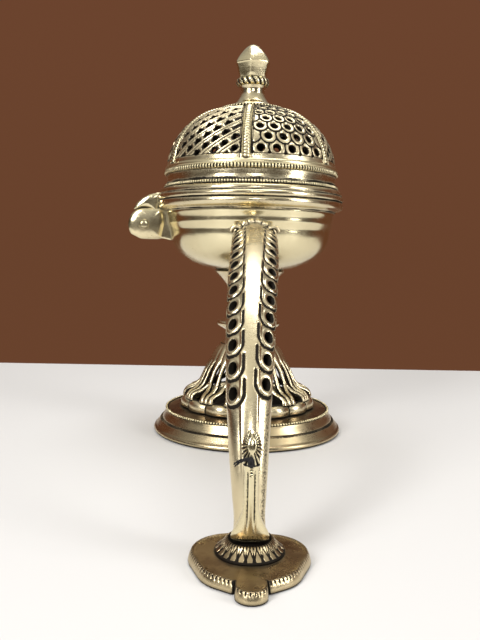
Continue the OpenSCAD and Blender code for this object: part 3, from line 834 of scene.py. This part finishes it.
def make_strap(number):
    """A beaded strap up the dome: a notched rope between two fine borders."""
    azimuth = FIRST_STRAP + (number - 1) * PANEL
    rows, columns = 300, 17
    e = np.linspace(DOME_FOOT + 0.3, DOME_HEAD - 4, rows)[:, None]
    x = np.linspace(-1, 1, columns)[None, :]
    r = dome_radius(e)
    a = azimuth + np.degrees(x * STRAP_HALF / r)
    along = np.radians(e) * DOME_ARC
    notch = np.abs(np.cos(math.pi * along / 1.75)) ** 0.6
    rope = np.sqrt(clamp(1 - (x / 0.68) ** 2))
    edge = hump(np.abs(x) - 0.86, 0.1)
    lift = 0.25 + rope * (0.55 + 0.4 * notch) + 0.4 * edge
    dark = clamp((1 - notch) * (np.abs(x) < 0.7) * 0.9)
    dark = np.maximum(dark, hump(np.abs(x) - 0.70, 0.06) * 0.8)
    outer = dome_points(a, e + 0 * a, lift)
    inner = dome_points(a, e + 0 * a, -0.3 + 0 * a)
    points, faces = shell(outer, inner, quads(rows, columns)[:, ::-1])
    piece(f"lid_strap_{number}", points, faces, beaded, "lid",
          np.concatenate([dark.ravel(), 0 * dark.ravel()]), 60)


for number in range(1, STRAPS + 1):
    make_panel(number, FIRST_STRAP + (number - 0.5) * PANEL, number % 2 == 1)
    make_strap(number)
lathe("dome_top_plate", [(2.5, 186.2), (15, 186.2), (15, 187.4), (2.5, 187.4)],
      chased, "lid", 0.2, 96, nodes=["lid_dome_1"])
lathe("crown_disc", [(2.5, DISC_FOOT), (18.6, DISC_FOOT), (19.5, 188.2), (19.2, 189), (17.8, 189.3),
                     (14, STEM_FOOT), (2.5, STEM_FOOT)],
      beaded, "lid", 0.5, 64 * 10, bead_band(64, 187.6, 189.25, 1.1, 18.0))

lathe("finial_stem", [(2.5, STEM_FOOT), (12.2, STEM_FOOT), (12.4, 190.2), (11.6, 191.4), (9.4, 192.8),
                      (8.0, 195), (7.1, 197.6), (7.0, 200.2), (7.6, 201.6), (7.9, 202.2),
                      (2.5, 202.4)], turned, "lid", 0.7, 128)
lathe("finial_bead_collar", [(2.5, 202), (8.2, 202), (9.5, 202.8), (9.9, 204.3), (9.5, 205.8),
                             (8.2, 206.6), (2.5, 206.6)],
      beaded, "lid", 1.0, 17 * 24, bead_band(17, 202.1, 206.5, 0.75, 7.6, 0.06))


BUD_TURN = math.radians(4)


def make_bud():
    """Six-sided bud, sharp at its widest ring and rounding off to the tip."""
    profile = [(0.1, 206.4), (7.2, 206.4), (7.6, 206.8), (8.1, 209), (8.7, 211.4), (9.5, 214.2),
               (9.9, 214.9), (9.6, 215.6), (8.6, 217.6), (7.1, 220.0), (5.3, 222.4), (3.5, 224.3),
               (1.8, 225.5), (0.1, BUD_TIP)]
    steps = 144
    theta = turns(steps)[:, None]
    section = rounded(profile, 0.45, 6)
    r, z = section[None, :, 0], section[None, :, 1]
    wedge = (theta + BUD_TURN) % (TAU / 6) - TAU / 12
    hexagon = 1 / np.cos(wedge)
    soft = clamp((BUD_TIP - z) / 7) ** 0.5 * np.clip((z - 205) / 3, 0.5, 1)
    corner = 1 + 0.8 * (np.minimum(hexagon, 1.11) - 1) * soft
    points = ring_points(theta, r * corner, z)
    piece("finial_bud", points, quads(steps, len(section), True, True), polished, "lid", angle=80)


make_bud()

# ---------- handle ----------

HANDLE_X, HANDLE_TOP = 1.9, 112.0
HANDLE_REACH, HANDLE_RISE = FOOT_Y - 47, HANDLE_TOP - HANDLE_LOW
STRIP = 0.36
SCALE_PITCH, SCALE_R, SCALE_HOLE = 9.5, 4.4, 2.05
SCALES, HANDLE_WALL = 13, 1.9


def handle_path(t):
    """Centre line, outward and sideways directions at t degrees along the handle."""
    a = np.radians(t)
    bow = HANDLE_X * (0.27 + 0.73 * np.cos(2.8 * a))
    centre = np.stack([bow, -47 - HANDLE_REACH * np.sin(a), HANDLE_LOW + HANDLE_RISE * np.cos(a)], -1)
    out = np.stack([0 * a, -np.sin(a) / HANDLE_REACH, np.cos(a) / HANDLE_RISE], -1)
    out /= np.linalg.norm(out, axis=-1, keepdims=True)
    return centre, out


def handle_half(t):
    """Half width and half depth of the handle at t degrees."""
    flare = clamp((t - 83) / 7) ** 2
    return 11.4 - 7 * (t / 90) ** 2.2 + 2.4 * flare, 8.6 - 3.9 * (t / 90) ** 1.6


def handle_run(t):
    """Length along the handle from its start to t degrees."""
    steps = np.radians(np.linspace(0, 90, 400))
    speed = np.hypot(HANDLE_REACH * np.cos(steps), HANDLE_RISE * np.sin(steps))
    run = np.concatenate([[0], np.cumsum((speed[1:] + speed[:-1]) / 2 * np.diff(steps))])
    return np.interp(t, np.degrees(steps), run)


def scale_places():
    """Pierced scales down both flanks: (side, run along, angle round the section)."""
    last = {-1: handle_run(63.0), 1: handle_run(61.2)}
    places = []
    for side, end in last.items():
        for k in range(SCALES):
            places.append((side, end - k * SCALE_PITCH, side * math.radians(47 + 0.5 * k)))
    return places


def make_handle():
    """The grip: raised middle strip, two flanks of pierced scales and a fluted crown."""
    dense = np.linspace(12, 66, 250)
    t = np.concatenate([np.linspace(2.2, 12, 36)[:-1], dense, np.linspace(66, 90, 60)[1:]])
    flank = np.radians(np.linspace(4, 100, 58))
    back = np.radians(np.linspace(100, 260, 22)[1:-1])
    round_a = np.concatenate([-flank[::-1], [0], flank, back])
    t, a = np.meshgrid(t, round_a, indexing="ij")
    run = handle_run(t)
    gap, rim = np.full(t.shape, 99.0), np.zeros(t.shape)
    line = np.zeros(t.shape)
    cell = 0.42
    for side, place, angle in scale_places():
        half_w, half_d = handle_half(np.interp(place, handle_run(np.arange(91)), np.arange(91)))
        arc = math.hypot(half_w * math.cos(angle), half_d * math.sin(angle))
        x, y = (a - angle) * arc, run - place
        d = np.hypot(x / 0.92, y / 1.12)
        near = np.abs(d - SCALE_HOLE) < 0.6 * cell
        pull = np.where(near, SCALE_HOLE / np.maximum(d, 1e-6), 1)
        a, run = angle + x * pull / arc, place + y * pull
        gap = np.minimum(gap, np.where(near, 0, d - SCALE_HOLE))
        x, y = (a - angle) * arc, run - place
        d = np.hypot(x / 0.92, y / 1.12)
        rim = np.maximum(rim, hump(d - SCALE_HOLE - 0.9, 0.8))
        arm = np.where(x * side < 0, -SCALE_R, -2.0)
        bow = np.where(y > 0.4, np.abs(np.hypot(x, y - 0.4) - SCALE_R),
                       np.hypot(np.abs(x) - SCALE_R, np.minimum(y - arm, 0)))
        width = 0.36 + 0.22 * clamp(y / SCALE_R)
        line = np.maximum(line, clamp((width + 0.22 - bow) / 0.22))
    back_t = np.linspace(0, 90, 400)
    t = np.interp(run, handle_run(back_t), back_t)
    centre, out = handle_path(t)
    half_w, half_d = handle_half(t)
    x = np.sin(a)
    front = np.cos(a) > -0.2
    strip_half = STRIP * clamp(0.35 + t / 40)
    strip = clamp((strip_half + 0.10 - np.abs(x)) / 0.14)
    strip = strip * strip * (3 - 2 * strip) * front * clamp((80 - t) / 20)
    crown = clamp((13 - t) / 5) * front * (np.abs(x) > strip_half)
    flute = np.abs(np.sin(11 * a + 0.10 * run)) ** 0.5
    lift = 0.75 * strip + 0.35 * rim - 0.45 * line + crown * (0.7 * flute - 0.4)
    lift = lift - 0.35 * hump(np.abs(x) - 0.62, 0.2) * front * clamp((70 - t) / 8)
    dark = np.maximum(line, crown * clamp(1.75 - 2.2 * flute))
    # Painted shade: the edges of the holes, a dark patch on the right flank behind the spur, the foot
    # where it sinks into the collar (also the patina there) and the near-black inner skin.
    dark = np.maximum(dark, clamp(1 - gap / 0.3))
    painted_shade = clamp((t - 60) / 6) * hump(np.degrees(a) - 56, 20)
    dark = np.maximum(dark, 0.47 * painted_shade)
    dark = np.maximum(dark, clamp((t - 86.6) / 1.2))

    def skin(offset):
        """The skin moved outwards by an offset."""
        across, depth = half_w + offset, half_d + offset
        return (centre + np.stack([across * np.sin(a), 0 * a, 0 * a], -1)
                + out * (depth * np.cos(a))[..., None])

    faces = pierce(gap, quads(*t.shape, False, True)[:, ::-1])
    points, faces = shell(skin(lift), skin(-HANDLE_WALL + 0 * lift), faces)
    dark = np.concatenate([dark.ravel(), np.full(dark.size, 0.9)])
    piece("handle", points, faces, chased, "stand", dark, 50)


def make_crown():
    """Leafy boss between the bowl and the handle, with a curled leaf on each side."""
    steps = 180
    theta = turns(steps)[:, None]
    profile = rounded([(0, 41.5), (10.2, 41.5), (11.4, 46), (11.9, 50.5), (11.2, 52.4), (0, 52.4)],
                      0.8, 5)
    r, y = profile[None, :, 0], profile[None, :, 1]
    flute = np.abs(np.sin(9 * theta)) ** 0.6
    r = r * (1 - 0.07 * (1 - flute) * (r > 4))
    boss = np.stack([HANDLE_X + r * np.sin(theta), -y + 0 * theta,
                     HANDLE_TOP + r * np.cos(theta)], -1)
    dark = clamp(1.5 - 2.2 * flute) * (profile[None, :, 0] > 9)
    piece("handle_crown", boss, quads(steps, len(profile), True, True), chased, "stand", dark + 0 * r, 60)
    for side, word in ((-1, "left"), (1, "right")):
        curl = np.linspace(0, 2.4 * math.pi, 40)
        reach = 3.0 * (1 - curl / (3.1 * math.pi))
        path = np.stack([HANDLE_X + side * (9.3 + reach * np.cos(curl)), -52.6 - 0.25 * curl,
                         116.8 + reach * np.sin(curl)], -1)
        points, faces = tube(path, 1.25 - 0.5 * curl / curl[-1], 12)
        piece(f"crown_scroll_{word}", points, faces, chased, "stand", nodes=["handle_crown"])


make_handle()
make_crown()


# ---------- spur and its thread ----------

# The spur from its foot to its tip: height, middle y, half width and half depth
SPUR = [(6.5, -184.8, 4.4, 1.5), (8.6, -185.6, 5.9, 2.2), (10.4, -187.0, 6.7, 3.0),
        (12.4, -188.0, 6.4, 3.3), (16, -189.2, 4.6, 2.9), (20, -190.4, 3.0, 2.4),
        (25, -191.7, 2.35, 2.1), (30, -192.3, 2.3, 2.1), (35, -192.0, 2.3, 2.2),
        (38, -191.7, 2.9, 2.8), (40.5, -191.4, 3.4, 3.3), (43.5, -191.2, 3.4, 3.4),
        (46, -191.0, 2.7, 2.7), (47.8, -190.9, 1.6, 1.6), (48.6, -190.8, 0.15, 0.15)]
GROOVE_FOOT, GROOVE_TOP = 37.2, 48


def make_spur():
    """Curl in front of the handle: a narrow neck under a bird-like head with grooves."""
    z, y, wide, deep = np.array(SPUR).T
    rows, columns = 190, 110
    height = np.linspace(z[0], z[-1], rows)
    soft = np.ones(11) / 11
    smooth = []
    for values in (y, wide, deep):
        line = np.interp(height, z, values)
        line[5:-5] = np.convolve(line, soft, "valid")
        smooth.append(line[:, None])
    middle, wide, deep = smooth
    height = height[:, None]
    a = turns(columns)[None, :]
    x, out = np.sin(a) + 0 * height, np.cos(a) + 0 * height
    ray = np.arctan2(x * wide, 0.7 * (height - 44.5) + 0 * x)
    reach = np.hypot(x * wide, 0.6 * (height - 44.0))
    groove = clamp((np.cos(23 * ray) + 0.35) / 0.5) * clamp((reach - 1.3) / 0.4)
    groove = groove * (height > GROOVE_FOOT) * (height < GROOVE_TOP) * (out > -0.6) * (np.abs(x) > 0.2)
    cleft = hump(np.abs(x) * wide - 1.35, 0.38) * (out > 0)
    cleft = cleft * clamp((height - 13) / 6) * clamp((37 - height) / 3)
    crest = hump(x * wide, 0.55) * (out > 0) * (height < 39) * (height > 34)
    tick = clamp((np.cos(TAU * height / 1.0) + 0.2) / 0.5)
    lift = -0.45 * groove - 0.5 * cleft - 0.25 * crest * tick
    # The clefts down the neck and the spur's foot, where it meets the handle, are painted shade.
    dark = np.maximum(0.95 * groove, np.maximum(crest * tick, 0.7 * cleft))
    dark = np.maximum(dark, clamp((11.0 - height) / 1.6))
    points = np.stack([(wide + lift) * x, middle - (deep + lift) * out, height + 0 * x], -1)
    faces = quads(rows, columns, False, True).tolist()
    last = rows * columns
    faces += [list(range(columns))[::-1], list(range(last - columns, last))]
    piece("handle_spur", points, faces, polished, "stand", dark, 60)


THREAD_R, THREAD_Y, THREAD_Z = 2.55, -191.9, 37.4
THREAD_ENDS = ((-2.9, 4.6, 0.5), (-2.2, 4.9, 0.6), (-1.2, 2.6, 0.3))


def make_thread():
    """Black cotton tied round the spur's neck: a double ring, a knot and three frayed ends."""
    strands = []

    def strand(x, y, z, radius, sides):
        """Adds one strand along x, y and z."""
        strands.append(tube(np.stack([x, y, z], -1), radius, sides))

    turn = np.linspace(0, TAU, 97)
    for phase in (0, math.pi):
        r = THREAD_R + 0.12 * np.cos(16 * turn + phase)
        strand(r * np.sin(turn), THREAD_Y - r * np.cos(turn),
               THREAD_Z + 0.12 * np.sin(16 * turn + phase), 0.17, 8)
    loop = np.linspace(0, TAU, 33)
    for k in range(7):
        tilt, r = 0.35 * k - 1.2, 0.85 - 0.05 * k
        strand(r * np.cos(loop) * math.cos(tilt) - 0.3,
               -195.3 - 0.5 * np.sin(loop) * math.cos(k) - 0.09 * k,
               39.0 + 1.8 * r * np.sin(loop) + 0.3 * math.sin(3 * k), 0.38, 8)
    s = np.linspace(0, 1, 40)
    for drop, length, bend in THREAD_ENDS:
        for phase in (0, math.pi):
            strand(-0.9 - length * s, -195.5 + 1.6 * s + 0.2 * np.cos(14 * s + phase),
                   40.0 + drop * s + bend * np.sin(3 * s) + 0.2 * np.sin(14 * s + phase),
                   0.36 - 0.2 * s, 7)
    points, faces = joined(*strands)
    piece("thread_tie", points, faces, thread, "stand", angle=80)


make_spur()
make_thread()


# ---------- foot ----------

# Where the front lobe meets the leaf: its middle and half angle in radians
LOBE_TURN, LOBE_HALF = 0.016, 0.222


def plate_radius(angles):
    """Distance from the screw to the leaf outline, angle 0 towards -Y."""
    def circle_reach(cx, cy, r):
        """Distance to the far side of a circle, or 0 where it is missed."""
        ux, uy = np.sin(angles), -np.cos(angles)
        along = cx * ux + cy * uy
        inside = r * r - (cx * cx + cy * cy - along * along)
        return np.where(inside > 0, along + np.sqrt(np.maximum(inside, 0)), 0)

    arc = turns(72)
    dots = [(cx + r * math.cos(a), cy + r * math.sin(a)) for a in arc
            for cx, cy, r in ((-6.2, 0.5, 15), (6.2, 0.5, 15), (-3.5, -8, 14.5),
                              (3.5, -8, 14.5), (0, -20.5, 5.6))]
    hull = convex(dots)
    reach = np.full(angles.shape, 1e9)
    for (x0, y0), (x1, y1) in zip(hull, hull[1:] + hull[:1]):
        nx, ny = y1 - y0, x0 - x1
        offset = nx * x0 + ny * y0
        facing = nx * np.sin(angles) - ny * np.cos(angles)
        reach = np.where(facing > 1e-9, np.minimum(reach, offset / np.maximum(facing, 1e-9)), reach)
    lobe = circle_reach(0.4, -25.2, 5.4)
    notch = hump(np.abs(angles - LOBE_TURN) - LOBE_HALF, 0.02)
    return np.maximum(reach, lobe) - 0.9 * notch


def convex(dots):
    """Convex hull of 2D points, turning left."""
    dots = sorted(set(dots))
    chains = []
    for row in (dots, dots[::-1]):
        chain = []
        for p in row:
            while len(chain) > 1 and ((chain[-1][0] - chain[-2][0]) * (p[1] - chain[-2][1])
                                      - (chain[-1][1] - chain[-2][1]) * (p[0] - chain[-2][0])) <= 0:
                chain.pop()
            chain.append(p)
        chains += chain[:-1]
    return chains


def make_plate():
    """Leaf-shaped foot plate with a notched front edge and a rounded front lobe."""
    steps, pitch, depth = 900, 1.6, 0.3
    angle = np.linspace(-math.pi, math.pi, steps, endpoint=False)
    reach = plate_radius(angle)
    x, y = reach * np.sin(angle), -reach * np.cos(angle)
    run = np.concatenate([[0], np.cumsum(np.hypot(np.diff(x), np.diff(y)))])
    inset = np.array([1.6, 0.5, 0.15, 0.0, 0.2, 0.45, 0.7, 0.85, 1.0, 1.25, 1.5, 1.8, 2.2, 2.8])
    z = np.array([0, 0, 0.25, 0.8, 1.8, 2.6, 3.1, 3.5, 3.85, 4.1, 4.15, 4.0, 3.8, 3.75])
    front = clamp((1.75 - np.abs(angle)) / 0.12)[:, None]
    band = (hump(inset - 1.05, 0.25) * (z > 2))[None, :]
    notch = clamp(np.cos(TAU * (run - run[steps // 2]) / pitch) * 2.2 - 0.6)[:, None]
    notch = notch * front * band
    r = reach[:, None] - inset[None, :] - depth * notch
    height = z[None, :] - depth * notch
    inner = np.array([0.75, 0.5, 0.3, 0.12])[None, :] * (reach[:, None] - 3.2)
    r = np.concatenate([r, inner, np.full((steps, 1), 1.8), np.full((steps, 1), 1.8),
                        np.full((steps, 1), 4.0), np.full((steps, 1), 4.0)], 1)
    height = np.concatenate([height, np.broadcast_to([3.85, 4.0, 4.1, 4.15, PLATE_T, 1.7, 1.7, 0],
                                                     (steps, 8))], 1)
    dark = np.zeros(height.shape)
    dark[:, :len(inset)] = clamp(1.6 * notch) ** 0.5
    seam = hump(np.abs(angle - LOBE_TURN) - LOBE_HALF, 0.035)[:, None]
    dark[:, :len(inset)] += seam * (inset < 1.6)[None, :]
    points = np.stack([r * np.sin(angle)[:, None], -FOOT_Y - r * np.cos(angle)[:, None], height],
                      -1)
    faces = quads(steps, height.shape[1], True, True)
    piece("foot_plate", points, faces, aged_top_shaded, "stand", clamp(dark), 50)


COLLAR_TEETH = 24


def collar_shape(theta, r, z):
    """Chased triangles round the collar's cone, a line of painted shadow at its foot and a dark pit round
    the handle, part patina and part painted shade.
    """
    up = clamp((z - PLATE_T - 1.0) / 3.0)
    saw = np.abs((COLLAR_TEETH * theta / TAU) % 1 - 0.5) * 2
    face = (r > 8.2) & (r < 11.9) & (z > PLATE_T + 0.9)
    cut = clamp((0.5 - np.abs(saw - up) / 0.42) * 4)
    cut = np.maximum(cut, clamp((0.5 * (1 - up) - saw) * 8))
    top = (z > PLATE_T + 3.9) & (r > 6.5)
    tick = clamp(np.cos(2 * COLLAR_TEETH * theta) * 2) * top
    # Painted shadow along the foot; the pit is part patina, part painted shade.
    foot = (z < PLATE_T + 0.9) & (r > 10)
    pit = (r < 7.6) & (z > PLATE_T + 1)
    dark = clamp(cut * face + tick + foot * 0.9 + pit)
    return r - 0.35 * cut * face, z - 0.3 * tick, dark


make_plate()
lathe("foot_collar", [(1.7, PLATE_T), (12.2, PLATE_T), (11.9, 5.0), (11.3, 5.4), (10.5, 6.1), (9.7, 6.8),
                      (8.9, 7.8), (8.2, 8.7), (7.4, 8.8), (5.6, 7.4), (4.9, 5.6), (1.7, 5.6)],
      aged_top_shaded, "stand", 0.45, COLLAR_TEETH * 24, collar_shape, (0, -FOOT_Y), 7)


# ---------- hinge ----------

EAR_OUT, EAR_IN = 7.0, 3.3


def slab(outline, y0, y1):
    """A prism of an (x, z) outline between two y: (points, faces)."""
    outline = np.asarray(outline, float)
    n = len(outline)
    points = [(x, y, z) for y in (y0, y1) for x, z in outline]
    loop = list(range(n)) if signed_area(outline) > 0 else list(range(n))[::-1]
    faces = [loop, [v + n for v in loop[::-1]]]
    faces += [[loop[(k + 1) % n], loop[k], loop[k] + n, loop[(k + 1) % n] + n] for k in range(n)]
    return np.array(points), faces


def pillow(outline, low, high, puffs, centre, rings=9):
    """A slab between two y whose faces swell by puffs towards centre: (points, faces)."""
    outline, centre = np.asarray(outline, float), np.asarray(centre, float)
    part = np.linspace(0, 1, 8, endpoint=False)[:, None]
    loop = np.concatenate([p + part * (q - p) for p, q in zip(outline, np.roll(outline, -1, 0))])
    u = np.linspace(0.02, 1, rings)
    sag = 1 - np.sqrt(1 - 0.999 * u * u)
    y = np.concatenate([low + puffs[0] * sag, high - puffs[1] * sag[::-1]])
    u = np.concatenate([u, u[::-1]])
    flat = centre + (loop[:, None] - centre) * u[None, :, None]
    points = np.stack([flat[..., 0], y[None, :] + 0 * flat[..., 0], flat[..., 1]], -1)
    n, row = len(loop), 2 * rings
    faces = quads(n, row, True, False).tolist()
    faces += [[k * row for k in range(n)][::-1], [k * row + row - 1 for k in range(n)]]
    return points.reshape(-1, 3), faces


def make_lug():
    """Bird-beak lug on the bowl: two swelling cheeks with a slot for the lid's tongue."""
    head = [(PIN_X + 9.7 * math.cos(a), PIN_Z + 9.7 * math.sin(a))
            for a in np.radians(np.arange(95, 225, 10))]
    cheek = head + [(-64.5, 113.3), (-57, 113.2), (-52.5, 113.6), (-50.5, 122), (-51.5, 131.2),
                    (-58, 131.3)]
    middle, out = (PIN_X + 2, PIN_Z + 0.5), EAR_OUT + 0.4
    stem = [(-56.4, 114.2), (-50, 113.4), (-46.6, 112.6), (-45.0, 113.4), (-45.6, 130.9),
            (-56.4, 130.9)]
    points, faces = joined(pillow(cheek, -out, -EAR_IN, (1.8, 0), middle),
                           pillow(cheek, EAR_IN, out, (0, 1.8), middle), slab(stem, -5.6, 5.6))
    lug = piece("hinge_lug", points, faces, polished, "stand")
    fused(lug, 0.45)


def make_tongue():
    """The lid's leaf over the lug, with a tongue between the ears."""
    arc = np.radians(np.linspace(42, 124, 9))
    under = [(PIN_X + 10.2 * math.cos(a), PIN_Z + 10.2 * math.sin(a)) for a in arc]
    leaf = under + [(-68.6, 130.6), (-66.8, 133.8), (-63.4, 136.8), (-59.4, 139.0), (-54.4, 140.2),
                    (-52.4, 140.0), (-52.6, 135.6)]
    knuckle = [(PIN_X + 4.9 * math.cos(a), PIN_Z + 4.9 * math.sin(a))
               for a in turns(32)]
    web = [(-66, 121.6), (-57.5, 121.6), (-57.5, 133.0), (-66, 133.0)]
    points, faces = joined(pillow(leaf, -6.9, 6.9, (1.6, 1.6), (-60, 134.5)), slab(knuckle, -2.9, 2.9),
                           slab(web, -2.9, 2.9))
    tongue = piece("lid_tongue", points, faces, polished, "lid")
    fused(tongue, 0.4)


def make_pin():
    """Riveted pin, nearly flush, with a scribed ring round each end."""
    outline = [(-7.75, 0), (-7.72, 1.4), (-7.6, 1.9), (-7.3, 2.1), (-7.6, 2.35), (-7.6, 2.7),
               (-7.3, 2.95), (-6.9, 2.9), (-6.9, 1.6)]
    outline = outline + [(-y, r) for y, r in outline[::-1]]
    steps = 64
    a = turns(steps)[:, None]
    y = np.array([p[0] for p in outline])[None, :]
    r = np.maximum(np.array([p[1] for p in outline])[None, :], 0.02)
    points = np.stack([PIN_X + r * np.cos(a), y + 0 * a, PIN_Z + r * np.sin(a)], -1)
    faces = quads(steps, len(outline), True, False).tolist()
    dark = hump(r - 2.1, 0.15) + 0 * a
    piece("hinge_pin", points, faces, polished, "stand", np.clip(dark, 0, 0.8))


make_lug()
make_tongue()
make_pin()

# ---------- finish ----------

for name in ("tie_bolt", "tie_washer", "tie_nut", "handle_bolt", "foot_screw", "finial_nut"):
    materials = frame["nodes"][name].data.materials
    materials.clear()
    materials.append(fastener)
